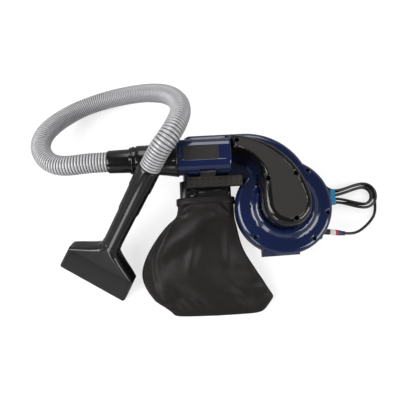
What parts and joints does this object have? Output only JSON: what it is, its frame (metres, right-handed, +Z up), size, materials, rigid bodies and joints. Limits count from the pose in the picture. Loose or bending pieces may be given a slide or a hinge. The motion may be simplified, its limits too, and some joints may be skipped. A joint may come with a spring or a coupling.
{
  "type": "leaf blower",
  "caption": "Hand-held electric blower and vacuum lying on its motor cover, with fan scroll, suction duct, ribbed hose, wand with flared nozzle, latched dust bag and coiled cord.",
  "frame": {"origin": "on the fan axis, at the flat floor of the motor cover that rests on the table", "axes": "+Z up along the fan axis, +X away from the hose, -Y towards the dust bag's hem"},
  "size_m": [0.7397, 0.5171, 0.2475],
  "materials": {
    "navy": "glossy moulded plastic",
    "panel_grey": "fine textured",
    "black_gloss": "glossy moulded plastic",
    "black_satin": "satin moulded plastic",
    "hose_grey": "flexible ribbed plastic",
    "comb_grey": "satin",
    "bag_cloth": "woven cloth",
    "bag_band": "woven binding",
    "steel": "plain steel",
    "iron": "laminated iron",
    "copper": "copper wire and bars",
    "carbon": "pressed carbon",
    "red_rocker": "glossy moulded plastic",
    "cord_black": "flexible sheath",
    "label_blank": "blank sleeve",
    "tie_cyan": "flexible strip",
    "pin_brass": "plated"
  },
  "bodies": {
    "machine": {"front_housing": "navy", "rear_housing": "navy", "inlet_tube_cover": "navy", "duct_panel": "panel_grey", "badge_plate": "panel_grey", "duct_cover": "black_gloss", "inlet_collar": "black_gloss", "lock_ring": "black_gloss", "wand_hose_cuff": "black_gloss", "adapter_sleeve": "black_gloss", "bag_frame": "black_gloss", "body_hose_cuff": "black_satin", "motor_cover": "black_satin", "switch_body": "black_satin", "strain_relief": "black_satin", "power_plug": "black_satin", "brush_holders": "black_satin", "suction_hose": "hose_grey", "dust_bag": "bag_cloth", "bag_neck_band": "bag_band", "latch_pin": "steel", "rear_bearing": "steel", "front_bearing": "steel", "housing_screws": "steel", "cover_screws": "steel", "motor_screws": "steel", "stator": "iron", "field_windings": "copper", "carbon_brushes": "carbon", "power_cord": "cord_black", "cord_hank": "cord_black", "cord_band": "label_blank", "cord_tie": "tie_cyan", "plug_pins": "pin_brass"},
    "rotor": {"shaft": "steel", "armature": "iron", "commutator": "copper", "cooling_fan": "black_satin", "impeller": "black_satin", "impeller_nut": "steel"},
    "latch": {"bag_latch": "black_gloss"},
    "rocker": {"rocker_button": "red_rocker"},
    "nozzle": {"wand_pipe": "black_gloss", "nozzle_head": "black_gloss", "nozzle_comb_strip": "comb_grey"}
  },
  "joints": [
    {"name": "rotor_spin", "type": "hinge", "parent": "machine", "child": "rotor", "pos_m": [0, 0, 0.09], "axis": [0, 0, 1], "continuous": true},
    {"name": "latch_press", "type": "hinge", "parent": "machine", "child": "latch", "pos_m": [-0.136, 0.054, 0.1236], "axis": [1, 0, 0], "range_deg": [0, 10], "stiffness_Nm_per_rad": 0.6, "springref_deg": -8.59},
    {"name": "rocker_switch", "type": "hinge", "parent": "machine", "child": "rocker", "pos_m": [0.06824, -0.03181, 0.038], "axis": [0, 0, 1], "range_deg": [0, 12]},
    {"name": "nozzle_turn", "type": "hinge", "parent": "machine", "child": "nozzle", "pos_m": [-0.3046, 0.00216, 0.13578], "axis": [-0.4867, -0.6365, -0.5983], "continuous": true}
  ]
}
